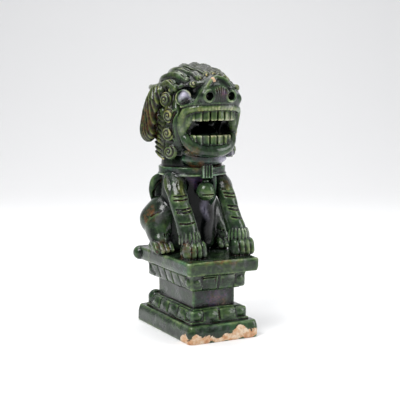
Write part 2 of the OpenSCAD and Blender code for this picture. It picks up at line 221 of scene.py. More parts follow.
def curve(points, steps=4):
    """A smooth path through points of any width, by Catmull-Rom."""
    p = np.array(points, float)
    if len(p) < 3:
        return p
    p = np.vstack([2 * p[0] - p[1], p, 2 * p[-1] - p[-2]])
    out = []
    for i in range(1, len(p) - 2):
        for t in np.arange(steps) / steps:
            a, b, c, d = p[i - 1], p[i], p[i + 1], p[i + 2]
            bend = (2 * a - 5 * b + 4 * c - d) * t**2
            twist = (3 * b - a - 3 * c + d) * t**3
            out.append(0.5 * (2 * b + (c - a) * t + bend + twist))
    return np.array(out + [p[-2]])


def tube(points, steps=4):
    """Round clay rolls through points [x, y, z, radius]."""
    path = curve(points, steps)
    return [segment(path[i], path[i + 1]) for i in range(len(path) - 1)]


def snail(at, normal, radius, height, turns=2.2, hand=1, depth=1.3):
    """A coiled curl of hair lying on a surface with this normal."""
    at, n = np.array(at, float), np.array(normal, float)
    n /= np.linalg.norm(n)
    side = np.cross(n, (0, 0, 1.0))
    side = side / np.linalg.norm(side) if np.linalg.norm(side) > 0.1 else np.array((1.0, 0, 0))
    rise = np.cross(side, n)
    pitch = radius / turns

    def distance(x, y, z):
        px, py, pz = x - at[0], y - at[1], z - at[2]
        u = px * side[0] + py * side[1] + pz * side[2]
        v = px * rise[0] + py * rise[1] + pz * rise[2]
        w = px * n[0] + py * n[1] + pz * n[2]
        r = np.sqrt(u * u + v * v)
        a = np.sqrt((r / radius) ** 2 + (w / height) ** 2)
        b = np.sqrt((r / radius**2) ** 2 + (w / height**2) ** 2)
        pad = a * (a - 1) / np.maximum(b, 1e-6)
        coil = 0.5 - 0.5 * np.cos(2 * math.pi * r / pitch - hand * np.arctan2(v, u))
        fade = np.clip((radius * 1.02 - r) / (0.2 * radius), 0, 1)
        return pad + depth * (1 - coil) ** 2 * fade

    return at - radius, at + radius, distance


class Place:
    """A frame of its own for shapes: an origin, a scale, and x reflected where hand is -1."""

    def __init__(self, start, scale=1.0, hand=1):
        self.start, self.scale, self.hand = np.array(start, float), scale, hand

    def __call__(self, x, y, z):
        return self.start + self.scale * np.array((x * self.hand, y, z))

    def path(self, points):
        return [(*self(*p[:3]), p[3] * self.scale) for p in points]

    def egg(self, at, half, turn=None):
        if turn is not None:
            turn = (turn[0], turn[1] * self.hand, turn[2] * self.hand)
        return egg(self(*at), np.array(half) * self.scale, turn)

    def block(self, at, half, edge=1.0, turn=None):
        if turn is not None:
            turn = (turn[0], turn[1] * self.hand, turn[2] * self.hand)
        return block(self(*at), np.array(half) * self.scale, edge, turn)

    def tube(self, points, steps=4):
        return tube(self.path(points), steps)

    def snail(self, at, normal, radius, height, **more):
        normal = (normal[0] * self.hand, normal[1], normal[2])
        return snail(self(*at), normal, radius * self.scale, height * self.scale, hand=self.hand, **more)


dog = Place((0, 0, seat_top), dog_scale)
right = Place((0, 0, seat_top), dog_scale, -1)
left = dog
sides = (("right", right), ("left", left))

# ---------- building the field ----------

members = []


def gather(shapes, soft):
    """The soft union of some shapes on the part of the lattice that holds them."""
    far = REACH + soft
    low = np.min([s[0] for s in shapes], axis=0) - far
    high = np.max([s[1] for s in shapes], axis=0) + far
    cut, x, y, z = window(low, high)
    field = np.full([c.stop - c.start for c in cut], far, np.float32)
    for corner, opposite, distance in shapes:
        small, a, b, c = window(corner - far, opposite + far)
        inner = tuple(slice(s.start - whole.start, s.stop - whole.start) for s, whole in zip(small, cut))
        field[inner] = soft_min(field[inner], np.minimum(distance(a, b, c), far), soft)
    return cut, x, y, z, field


def member(node, shapes, soft=3.0, join=2.0, marks=None):
    """Adds a clay member to the field and claims the clay nearest to it."""
    cut, x, y, z, field = gather(shapes, soft)
    if marks is not None:
        field = field + marks(x, y, z).astype(np.float32)
    members.append((node, cut))
    number = len(members)
    skin[cut] = soft_min(skin[cut], field, join)
    closest, second = near[cut], after[cut]
    who, other = owner[cut], rival[cut]
    wins = field < closest
    places = ~wins & (field < second)
    other[wins] = who[wins]
    second[wins] = closest[wins]
    who[wins] = number
    closest[wins] = field[wins]
    other[places] = number
    second[places] = field[places]


def carve(shapes, soft=1.0, inside=0.5):
    """Cuts shapes out of the clay. soft rounds the cut's edge and inside rounds where they join."""
    cut, _, _, _, field = gather(shapes, inside)
    skin[cut] = soft_max(skin[cut], -field, soft)


def raise_up(shapes, soft=1.0, inside=0.5):
    """Adds shapes to the clay of whichever members they lie on."""
    cut, _, _, _, field = gather(shapes, inside)
    skin[cut] = soft_min(skin[cut], field, soft)


def groove(place, points, radius=0.9, soft=0.8):
    """One stroke of the tool: points [x, y, z] on the clay's surface."""
    carve(place.tube([(*p, radius) for p in points], 5), soft)


def bead(place, points, radius=1.2, soft=1.2):
    """A thin roll of clay laid on the surface."""
    raise_up(place.tube([(*p, radius) for p in points], 5), soft)


# ---------- pedestal ----------


def petal_row(count, span, depth, z, height, out, lean, turn, thick):
    """Cushion petals along one face that looks along -Y before it is turned by turn degrees."""
    step = span / (count + 1)
    a = math.radians(turn)
    shapes = []
    for i in range(count):
        x = (i - (count - 1) / 2) * step
        y = -depth
        at = (x * math.cos(a) - y * math.sin(a), x * math.sin(a) + y * math.cos(a), z)
        tilt = (lean, 0, turn)
        shapes.append(block(at, (step * 0.46, thick, height / 2), edge=min(thick, 3.0), turn=tilt))
        shapes.append(egg(at, (step * 0.42, thick + out, height * 0.42), turn=tilt))
    return shapes


def course(low, high, w0, d0, w1, d1, counts, thick, out):
    """Core and petals of one petal course between two rectangles."""
    height = high - low

    def lean(z):
        t = np.clip((z - low) / height, 0, 1)
        return (max(w0, w1) - (w0 + (w1 - w0) * t)) / 2

    half = np.array((max(w0, w1) / 2, max(d0, d1) / 2))
    core = slab(half, low, high, lean, 3.0, 0.8)
    tilt = math.degrees(math.atan2((w0 - w1) / 2, height))
    z = (low + high) / 2
    shapes = [core]
    middle_w, middle_d = (w0 + w1) / 2, (d0 + d1) / 2
    petal = height * 0.86
    for turn in (0, 180):
        shapes += petal_row(counts[0], middle_w, middle_d / 2, z, petal, out, -tilt, turn, thick)
    for turn in (90, 270):
        shapes += petal_row(counts[1], middle_d, middle_w / 2, z, petal, out, -tilt, turn, thick)
    inset, low_knob, tall_knob = 5.5, 0.46, 0.62
    for sx in (-1, 1):
        for sy in (-1, 1):
            x, y = sx * (middle_w / 2 - inset), sy * (middle_d / 2 - inset)
            # The rear knobs of the lower course stand taller.
            knob = tall_knob if sy > 0 and w0 > w1 else low_knob
            shapes.append(egg((x, y, z + (knob - low_knob) * height / 2), (9.2, 9.2, height * knob)))
            shapes.append(block((x, y, z), (7.6, 7.6, height * 0.42), 3.0))
    return shapes


def foot_lean(z):
    """The foot slab's upper edge slopes in."""
    return 2.6 * np.clip((z - 0.55 * foot_top) / (0.45 * foot_top), 0, 1) ** 1.6


foot_half = np.array((foot_w / 2, foot_d / 2))
member("foot_slab", [slab(foot_half, 0, foot_top, foot_lean, 7.0, 1.6)], join=1.0)
lower_w, lower_d = waist_w + 17, waist_d + 26
member(
    "lower_petal_course",
    course(foot_top, waist_low[2], lower_w, lower_d, waist_w + 8, waist_d + 17, (2, 4), 2.4, 1.4)
    + [block((0, 0, foot_top + 1.2), (lower_w / 2 + 1.2, lower_d / 2 + 1.2, 1.2), 0.8)],
    soft=0.7,
    join=0.5,
)
waist_half = np.array((waist_w / 2, waist_d / 2))
member(
    "waist_block",
    [slab(waist_half, waist_low[2] - 1, waist_high[2] + 1, lambda z: 0 * z, 2.2, 0.5)],
    join=0.8,
)
upper_w, upper_d = waist_w + 18, waist_d + 25
member(
    "upper_petal_course",
    course(waist_high[2], seat_low, waist_w + 5, waist_d + 10, upper_w, upper_d, (2, 5), 2.0, 0.5),
    soft=0.7,
    join=0.6,
)
seat_half = np.array((seat_w / 2, seat_d / 2))


def seat_lean(z):
    """The seat's lower edge is undercut and its upper edge worn."""
    t = (z - seat_low) / (seat_top - seat_low)
    return 1.6 * np.clip(0.35 - t, 0, 1) / 0.35 + 0.5 * np.clip(t - 0.8, 0, 1) / 0.2


roll_r = (seat_top - seat_low) / 2 + 0.6
roll_at = (0, seat_half[1] - roll_r + 0.6, (seat_top + seat_low) / 2)
member(
    "seat_slab",
    [
        slab(seat_half, seat_low, seat_top, seat_lean, 3.5, 1.8),
        segment((-seat_w / 2 + 2, *roll_at[1:], roll_r), (seat_w / 2 - 2, *roll_at[1:], roll_r)),
    ],
    soft=1.0,
    join=1.0,
)

# ---------- body ----------

member(
    "torso",
    [
        dog.egg((0, 9, 102), (34, 35, 22)),
        dog.egg((0, 15, 77), (33, 30, 30)),
        dog.egg((0, 21, 48), (31, 31, 34)),
        dog.egg((0, 24, 25), (32, 32, 26)),
        dog.egg((0, 22, 8), (30, 31, 10)),
    ],
    soft=14,
    join=2.0,
)
for name, p in sides:
    member(
        "haunch_" + name,
        [
            p.egg((29, 28, 38), (16, 23, 25)),
            p.egg((36, 38, 34), (14, 15, 14)),
            p.egg((32, 28, 34), (14, 20, 18)),
            p.egg((38, 17, 23), (10, 13, 10)),
        ],
        soft=10,
        join=3.0,
    )
    member("hind_leg_" + name, p.tube([(38, 28, 22, 9), (38, 18, 17, 10), (39, 9, 14, 9)]), soft=3, join=3.0)
    foot = [p.egg((39, 21, 6), (9, 10, 7.5)), p.egg((40, 8, 7.5), (11, 9, 8.5))]
    member("hind_paw_" + name, foot, soft=5, join=2.0)
    # Four toes in a shallow fan.
    for i in range(4):
        x = 31.5 + 6 * i
        reach = -3.5 - 2 * math.sin(math.radians(60 * i))
        raise_up(p.tube([(x, 8, 11.5, 3.2), (x, 1, 9.5, 3.5), (x, reach, 4.4, 3.2)], 3), 0.8)

# Each foreleg from shoulder to wrist [x, y, z, radius], and where its paw stands (x, y).
FORE = {
    "right": [(27, -2, 84, 12), (31, -19.5, 62, 10), (29, -29.5, 42, 10.2), (26.5, -34.5, 24, 11)],
    "left": [(24, -2, 84, 11.5), (28, -21, 64, 9), (30, -28.5, 45, 9.3), (34, -36, 24, 10.4)],
}
PAW = {"right": (24, -38.5), "left": (35.5, -39)}
for name, p in sides:
    member("foreleg_" + name, p.tube(FORE[name]), soft=3, join=4.0)
    at = Place(p(*PAW[name], 0), dog_scale, p.hand)
    paw = [at.egg((0, 1, 11), (12.5, 10.5, 12)), at.egg((0, 2, 5), (12.5, 10.5, 7))]
    member("forepaw_" + name, paw, soft=4, join=3.0)
    for i in range(4):
        x = -9.6 + 6.4 * i
        y = -6 - 1.8 * math.sin(math.radians(60 * i))
        raise_up([at.egg((x, y + 1, 10), (4.3, 6.2, 8.8)), at.egg((x, y - 1, 4.8), (3.9, 5, 4.9))], 1.6, 2.0)
    for i in range(3):
        x = -6.4 + 6.4 * i
        y = -8.4 - 1.8 * math.sin(math.radians(60 * i + 30))
        groove(at, [(x, y + 3.4, 17.5), (x, y - 1, 12), (x, y - 1.8, 6), (x, y, 1)], 0.8, 0.5)

# ---------- head ----------

# The three eggs that the hair of the crown and nape lies on: middle and half sizes.
CROWN = ((0, 4, 179), (38, 42, 29))
BROW = ((0, -22, 184), (29, 23, 18))
BACK = ((0, 11, 152), (39, 35, 34))

member(
    "head",
    [
        dog.egg(*CROWN),
        dog.egg(*BROW),
        dog.egg(*BACK),
        dog.egg((0, 7, 124), (37, 33, 20)),
        dog.egg((-33, -17, 150), (7, 12, 22), (0, 0, -18)),
        dog.egg((33, -17, 150), (7, 12, 22), (0, 0, 18)),
        dog.egg((-30, -14, 128), (7, 11, 12)),
        dog.egg((30, -14, 128), (7, 11, 12)),
    ],
    soft=9,
    join=4.0,
)
member(
    "muzzle",
    [
        dog.egg((0, -43, 179), (19, 17, 14)),
        dog.egg((0, -38, 189), (13, 14, 9)),
        dog.egg((0, -38, 169), (32, 16, 8.5)),
        dog.egg((-13.5, -50, 176), (9, 9.5, 9)),
        dog.egg((13.5, -50, 176), (9, 9.5, 9)),
        dog.egg((22.5, -45, 172.5), (9.5, 9, 8)),
        dog.egg((12, -46, 186), (8, 8, 6)),
    ],
    soft=4,
    join=3.0,
)
member(
    "lower_jaw",
    dog.tube(
        [
            (-29, -28, 133, 4.2), (-25.5, -32.5, 125.5, 4.6), (-17, -38, 118.5, 5), (0, -42, 116, 5.6),
            (17, -38, 118.5, 5), (25.5, -32.5, 125.5, 4.6), (29, -28, 133, 4.2),
        ]
    )
    + [dog.egg((0, -24, 115), (26, 19, 7)), dog.egg((0, -6, 116), (32, 18, 9))],
    soft=4,
    join=3.0,
)
member("beard", [dog.egg((0, -20, 107), (27, 15, 9))], soft=2, join=4.0)
LIP = [
    (0, -52.5, 163.3, 3.4), (15, -51, 163.3, 3.4), (26, -45, 162.3, 3.5), (32, -37, 158.5, 3.8),
    (33, -31.5, 148, 4.0), (31, -29, 136, 4.0),
]
member("upper_lip", left.tube(LIP) + right.tube(LIP), soft=0.8, join=1.6)

# The open mouth, cut before the teeth and the tongue are set in it.
carve(
    [
        dog.egg((0, -42, 150), (25, 24, 11.5)),
        dog.egg((0, -38, 134), (26.5, 24, 11)),
        dog.egg((0, -8, 142), (23, 10, 12)),
    ],
    soft=1.2,
    inside=6,
)

# A web of clay at each corner of the mouth.
for name, p in sides:
    raise_up(p.tube([(23, -39, 158, 4.5), (27, -34.5, 149, 4.6), (29.5, -30, 140, 3.4)], 3), 2.0)


def arch_y(deep, t):
    """How far forward the arch of teeth stands at an angle from its middle."""
    return -26 - deep * math.cos(t) ** 0.6


def tooth_row(a, b, span, z, height, wide, way, count=8):
    """Teeth on a horseshoe a across and b deep, each a rounded block turned to face outwards."""
    shapes = []
    for i in range(count):
        t = math.radians(span * ((i + 0.5) / count - 0.5))
        at = (a * math.sin(t), arch_y(b, t), z + way * height / 2)
        turn = (0, 0, math.degrees(t))
        shapes.append(dog.block(at, (wide, 2.6, height / 2), 1.7, turn))
    return shapes


def gum(a, b, span, z, r):
    """The roll of gum behind a row of teeth."""
    angles = [math.radians(span * (i / 8 - 0.5)) for i in range(9)]
    return dog.tube([(a * math.sin(t), arch_y(b, t), z, r) for t in angles], 2)


member(
    "upper_teeth",
    tooth_row(26, 24, 150, 162, 13, 3.6, -1) + gum(26, 22, 150, 161, 3.2),
    soft=0.5,
    join=0.5,
)
member(
    "lower_teeth",
    tooth_row(25, 15, 140, 121, 12.5, 3.8, 1, 7) + gum(25, 14, 140, 121, 3.2),
    soft=0.5,
    join=0.5,
)
member(
    "tongue",
    [dog.egg((2, -27, 132.5), (13, 11, 3.4), (8, 0, 0)), dog.egg((2, -10, 128), (15, 12, 5))],
    soft=6,
    join=1.0,
)

EYE = (31, -33, 173.5)
for name, p in sides:
    member("eye_" + name, [p.egg(EYE, (7.4, 7.4, 7.4))], join=0.2)
    arch = [(37, -13, 179), (34, -20, 183), (28, -29, 186), (20, -36, 188), (12, -42, 190)]
    shapes = p.tube([(*at, 2.2) for at in arch])
    for i in range(9):
        knob = (38 - 2.8 * i, -15 - 3.0 * i, 181.5 + 0.8 * i + 2.4 * (i % 2))
        shapes.append(p.egg(knob, (2.5, 2.5, 2.5)))
    member("brow_" + name, shapes, soft=1.2, join=1.5)


def ear_marks(x, y, z):
    """Long grooves down the outer side of the ear."""
    return 0.55 * np.cos(2 * math.pi * (y - 0.28 * (z - seat_top)) / 4.3) * (abs(x) > 44)


for name, p in sides:
    ear = [
        p.egg((40, 10, 180), (8, 12, 9)),
        p.egg((45, 14, 168), (8, 12, 11)),
        p.egg((48, 17.5, 152), (7.5, 14, 14)),
        p.egg((49.5, 19, 137), (7.6, 14, 12.5)),
    ]
    member("ear_" + name, ear, soft=7, join=1.5, marks=ear_marks)
    curls = [((40.5, -9, 171), 8.6), ((40.5, -17, 154), 8.8), ((40, -14, 135), 9), ((38, -14, 115), 8.6)]
    shapes = [p.snail(at, (1, -0.45, 0), radius, 5) for at, radius in curls]
    # The feathered strip behind the curls, and the clay that both lie on.
    for i in range(9):
        z = 153 - 5.2 * i
        shapes += p.tube([(41.5, -3, z - 4, 1.7), (43, 3, z - 1, 2.1), (43, 12, z + 2.5, 1.7)], 3)
    shapes += p.tube([(39, 0, 158, 5), (38, -2, 112, 5)]) + p.tube([(40, 8, 158, 5), (38.5, 9, 112, 5)])
    shapes += p.tube([(37, -10, 172, 6), (37, -13, 150, 6), (36, -10, 112, 6)])
    member("mane_curls_" + name, shapes, soft=0.8, join=1.2)

# ---------- hair on the crown and nape ----------


def over(form, x, y):
    """Height of an egg's upper face."""
    at, half = form
    inside = 1 - ((x - at[0]) / half[0]) ** 2 - ((y - at[1]) / half[1]) ** 2
    return at[2] + half[2] * math.sqrt(max(0.0, inside))


def crown_z(x, y):
    """Height of the head's skin above a point."""
    return max(over(CROWN, x, y), over(BROW, x, y))


def nape_y(x, z):
    """How far back the head's skin is."""
    at, half = BACK
    inside = 1 - ((x - at[0]) / half[0]) ** 2 - ((z - at[2]) / half[2]) ** 2
    return at[1] + half[1] * math.sqrt(max(0.0, inside))


def lock_x(i, y):
    """Where swept-back lock i has got to, left or right, at a depth y."""
    return i * 9.2 + 3.0 * math.sin(math.radians(5.5 * y + 50 * i))


def lock_ys(i):
    """The depths of a lock's points. The outer locks start further back."""
    return range(-36 + 8 * max(0, abs(i) - 2), 40, 8)


shapes = []
for i in range(-4, 5):
    path = []
    for y in lock_ys(i):
        x = lock_x(i, y)
        r = 3.4 + 1.5 * math.cos(math.radians(2.2 * (y - 2)))
        path.append((x, y, crown_z(x, y) + 4.1 - r, r))
    shapes += dog.tube(path, 3)
for i in range(-3, 4):
    x = i * 7.2
    at = (x, -39.5 + abs(i) * 1.2, crown_z(x, -36) - 1.5)
    shapes.append(dog.snail(at, (0, -1, 0.5), 4.4, 4, turns=1.6))
shapes.append(dog.egg((0, 3, 187), (34, 36, 22)))
member("crown_locks", shapes, soft=1.4, join=1.5)
for i in range(-4, 5):
    for off in (-2.4, 0, 2.4):
        strand = []
        for y in lock_ys(i):
            x = lock_x(i, y) + off
            strand.append((x, y, crown_z(lock_x(i, y), y) + 4.5 - 0.16 * off**2))
        groove(dog, strand, 0.85, 0.8)

shapes = []
for row in range(3):
    for column in (-1, 0, 1):
        x, z = column * 15, 166 - row * 15
        shapes.append(dog.snail((x, nape_y(x, z), z), (column * 0.35, 1, 0), 8.2, 4.4))
member("nape_curls", shapes, soft=0.8, join=1.5)

# ---------- hair on the body ----------

for name, p in sides:
    at = p if name == "right" else Place(dog(-4, 0, 0), dog_scale)
    shapes = at.tube([(29, 2, 88, 4), (36, -4, 83, 5), (39, -12, 74, 4.4), (38, -19, 63, 2.4)])
    shapes += at.tube([(24, -6, 88, 4), (28, -14, 82, 5), (31, -23, 73, 3.6), (29, -27, 66, 2.2)])
    shapes += at.tube([(33, -2, 81, 5), (33, -14, 78, 5)])
    member("shoulder_tuft_" + name, shapes, soft=1.0, join=1.2)


def tail_marks(x, y, z):
    """Grooves that rise along the tail and fan out to its sides."""
    return 0.6 * np.cos(2 * math.pi * (abs(x) + 0.35 * (z - seat_top)) / 4.6)


shapes = dog.tube([(0, 50, 9, 9), (0, 53.5, 26, 10.5), (0, 53, 44, 9.2), (0, 51, 60, 5.5)])
for hand in (-1, 1):
    shapes += dog.tube([(8 * hand, 51, 14, 5), (15 * hand, 51, 28, 5), (9 * hand, 52, 42, 4)])
member("tail", shapes, soft=2.5, join=2.0, marks=tail_marks)

shapes = [dog.egg((0, 41, 77), (30, 11, 16))]
shapes += [p.egg((25, 35, 64), (9, 10, 14)) for _, p in sides]
for i in range(-3, 4):
    a = abs(i)
    shapes += dog.tube(
        [
            (i * 9, 43 - a * 3, 84, 4.4), (i * 10.5, 47 - a * 2.5, 78, 5.2),
            (i * 10.5, 50 - a * 1.6, 68, 5.0), (i * 10, 51 - a * 0.6, 56, 2.6),
        ]
    )
member("back_mane", shapes, soft=1.2, join=1.6)

# ---------- collar, buckle, bell and ribbon ----------

COLLAR_Z, COLLAR_R = 92.5, 37.5


def collar_shape():
    """A flat band with a round rim along its lower edge."""
    at = dog(0, 9.5, COLLAR_Z)
    r, h = COLLAR_R * dog_scale, 4.9 * dog_scale
    reach = np.array((r, r, h)) + 2

    def distance(x, y, z):
        flat = np.sqrt((x - at[0]) ** 2 + (y - at[1]) ** 2)
        up = abs(z - at[2])
        a, b = abs(flat - r + 4) - 3, up - h + 1.2
        band = np.sqrt(np.maximum(a, 0) ** 2 + np.maximum(b, 0) ** 2) + np.minimum(np.maximum(a, b), 0) - 1.2
        rim = np.sqrt((flat - r) ** 2 + (z - at[2] + h - 1.1) ** 2) - 1.3
        return np.minimum(band, rim)

    return at - reach, at + reach, distance


member("collar", [collar_shape()], join=0.6)
shapes = [dog.block((-1, -27.5, 93), (6.6, 3.4, 7.8), 1.4)]
for i in range(4):
    x = -1 + (i - 1.5) * 3.4
    shapes += dog.tube([(x, -31, 87, 1.0), (x, -31, 99, 1.0)])
member("collar_buckle", shapes, soft=0.4, join=0.6)
shapes = [dog.egg((0, -24, 71), (10.2, 10.2, 10.8)), dog.egg((0, -24, 82), (3.6, 3.6, 2.6))]
member("bell", shapes, soft=1.5, join=0.6)
carve([dog.block((0, -34, 67.6), (7.5, 5, 0.8), 0.5)], 0.6)
carve([dog.egg((0, -34.6, 64.5), (2.0, 3.0, 2.0))], 0.6)
member(
    "ribbon",
    dog.tube([(11.5, -21, 86, 3.2), (12, -20, 76, 3.6), (12, -17, 64, 4.0), (12, -14, 56, 2.6)]),
    soft=1,
    join=1.0,
)

# ---------- modelled detail and tool marks ----------

NOSTRIL_X, NOSTRIL_Z, RIM_R = 13.3, 175.5, 5.6
RIDGE = [
    (0, -48, 195.5), (6, -51, 194), (10.5, -53, 190), (17, -52.5, 182), (22.5, -50, 174.5), (26, -48, 168),
]
FOLD = [(35, -34, 164.5), (28, -45.5, 167.4), (15, -53, 168.4), (0, -54.5, 168.6)]
CHEEK = [(33, -36, 161), (35.5, -29.5, 151), (35, -28, 140), (30, -31, 128), (21, -37, 117)]
for p in (right, left):
    rim = []
    for t in np.linspace(0, 2 * math.pi, 13):
        y = -57.4 + 1.4 * abs(math.cos(t))
        rim.append((NOSTRIL_X + RIM_R * math.cos(t), y, NOSTRIL_Z + RIM_R * math.sin(t)))
    bead(p, rim, 1.1, 0.9)
    carve([p.egg((NOSTRIL_X, -60, NOSTRIL_Z), (4.4, 9, 4.4))], 0.8)
    bead(p, RIDGE, 1.7, 2.6)
    bead(p, FOLD, 1.6, 1.2)
    bead(p, CHEEK, 1.6, 1.4)
# Wrinkles between the nostrils.
for i in range(-2, 3):
    groove(dog, [(i * 2.9, -58.6, 185 - abs(i)), (i * 2.4, -59.4, 178), (i * 2.7, -57.4, 170)], 1.1, 0.7)

# The way the eye looks out, and the lid around it.
look = np.array((0.72, -0.69, 0.05))
look /= np.linalg.norm(look)
across = np.cross(look, (0, 0, 1.0))
rise = np.cross(across, look)
lid = []
for t in np.linspace(0, 2 * math.pi, 15):
    lid.append(tuple(np.array(EYE) + look * 2.2 + 7.6 * (math.cos(t) * across + math.sin(t) * rise)))
for name, p in sides:
    bead(p, lid, 1.5, 0.6)
    carve([p.egg(tuple(np.array(EYE) + look * 8.2 - 2.6 * rise), (2.4, 2.4, 2.0))], 0.5)
    for k in range(2):
        y = -22 + 3 * k
        groove(p, [(37 + k, y - 5, 160 - 2 * k), (40.5, y, 147 - 3 * k), (37.5, y, 130 - 3 * k)], 1.1, 0.9)


def leg_point(name, t, angle, lift=0.0):
    """A point on a foreleg's skin: t along it from the shoulder, angle from the front outwards."""
    path = np.array(FORE[name])
    t = t * (len(path) - 1)
    i = min(int(t), len(path) - 2)
    along = path[i + 1] - path[i]
    c = path[i] + along * (t - i) + along / np.linalg.norm(along[:3]) * lift
    a = math.radians(angle)
    return c[0] + c[3] * math.sin(a), c[1] - 0.88 * c[3] * math.cos(a), c[2] + 0.45 * c[3] * math.cos(a)


# Where the tool-cut bands lie along each foreleg.
LEG_MARKS = {"right": (0.30, 0.36, 0.52, 0.57, 0.78), "left": (0.26, 0.32, 0.38, 0.56, 0.62, 0.77)}
for name, p in sides:
    for t in LEG_MARKS[name]:
        arc = [leg_point(name, t, a, 2.4 * math.cos(math.radians(a * 1.8 - 20))) for a in range(-40, 61, 20)]
        groove(p, arc, 0.8, 0.8)
    # The fringe of hair around the wrist, strand by strand.
    wrist = np.array(FORE[name][-1])
    for i in range(9):
        a = math.radians(-80 + 20 * i)
        strand = []
        for out, z, r in ((0, 29, 0.9), (0.8, 22.5, 1.7), (1.6, 16.5, 0.7)):
            x, y = wrist[0] + (10.6 + out) * math.sin(a), wrist[1] - (10.4 + out) * math.cos(a)
            strand.append((x, y, z, r))
        raise_up(p.tube(strand, 3), 0.8)

# Tool strokes on the thighs, the back and the hind feet.
for name, p in sides:
    for k in range(5):
        drop = 5 * k
        thigh = [(34 + 2 * k, 2 + 3 * k, 58 - drop), (41 + 1.6 * k, 10 + 4 * k, 50 - drop)]
        groove(p, thigh + [(46, 20 + 3 * k, 40 - drop)], 0.9, 0.9)
    for k in range(4):
        back = [(30 - 2 * k, 32 + 3 * k, 96 - 8 * k), (34 - k, 38 + 2 * k, 84 - 9 * k)]
        groove(p, back + [(30 - k, 43 + 2 * k, 72 - 8 * k)], 1.0, 1.0)
    for k in range(3):
        groove(p, [(31 + 3 * k, 5, 22), (33 + 3 * k, -4, 16), (34.5 + 3.4 * k, -12, 10)], 0.8, 0.7)


def panel(x, z, half_w, half_h, y):
    """A rectangle outlined by a groove, on the pedestal's front."""
    outline = [(-1, -1), (1, -1), (1, 1), (-1, 1), (-1, -1)]
    for (a, b), (c, d) in zip(outline, outline[1:]):
        start = (x + a * half_w, y, z + b * half_h, 0.9)
        end = (x + c * half_w, y, z + d * half_h, 0.9)
        carve([segment(start, end)], 0.6)


upper_mid = (waist_high[2] + seat_low) / 2
panel_y = -(waist_d + 17.5) / 2 - 2.6
for x in (-12.5, 12.5):
    panel(x, upper_mid + 1.5, 8.2, 4.2, panel_y)

# ---------- hollow inside, open underneath ----------

def cavity(half_w, half_d, roof):
    """Cuts a box up from below the floor to a roof."""
    carve([block((0, 0, roof / 2 - 4), (half_w, half_d, roof / 2 + 4), 2.0)], 0.8)


cavity(waist_w / 2 - wall, waist_d / 2 - wall, seat_low)
cavity(foot_w / 2 - 2 * wall, foot_d / 2 - 2 * wall, foot_top)
vent_y, vent_r = 18, 11
carve([segment((0, vent_y, seat_low - 4, vent_r), (0, vent_y, seat_top + 12, vent_r))], 0.8)
carve(
    [
        dog.egg((0, 15, 77), (25, 22, 22)),
        dog.egg((0, 21, 48), (24, 23, 26)),
        dog.egg((0, 24, 27), (24, 24, 18)),
    ],
    1.0,
    14,
)
carve([dog.egg((0, 3, 178), (29, 33, 21)), dog.egg((0, 12, 152), (31, 26, 26))], 1.0, 8)


def hand_made(x, y, z):
    """The slow unevenness of clay pressed and smoothed by hand."""
    a = np.sin(x / 11.0 + 1.3) * np.sin(y / 13.0 + z / 19.0)
    b = np.sin(x / 5.7 + z / 7.9 + 0.6) * np.sin(y / 6.3 - z / 9.1)
    return (0.34 * a + 0.16 * b) * np.clip((z - 1.5) / 6, 0, 1)


skin += hand_made(axes[0][:, None, None], axes[1][None, :, None], axes[2][None, None, :]).astype(np.float32)
skin = np.maximum(skin, -axes[2][None, None, :])

# ---------- painting: where each kind of glaze lies, and where shade, highlights and reflections are painted, from 0 to 1 ---


def spots(points, places):
    """Soft patches of one kind of glaze, or of painted shade, highlight or reflection: (middle, half sizes,
    strength) each.
    """
    wobble = 2.2 * np.stack(
        [
            np.sin(points[:, 1] / 3.1 + points[:, 2] / 4.7),
            np.sin(points[:, 2] / 3.7 + points[:, 0] / 5.3),
            np.sin(points[:, 0] / 2.9 - points[:, 1] / 4.1),
        ],
        axis=1,
    )
    value = np.zeros(len(points), np.float32)
    for at, half, strength in places:
        away = np.sqrt((((points + wobble - np.array(at)) / np.array(half)) ** 2).sum(1))
        value = np.maximum(value, strength * np.clip(1.6 - 1.2 * away, 0, 1))
    return value


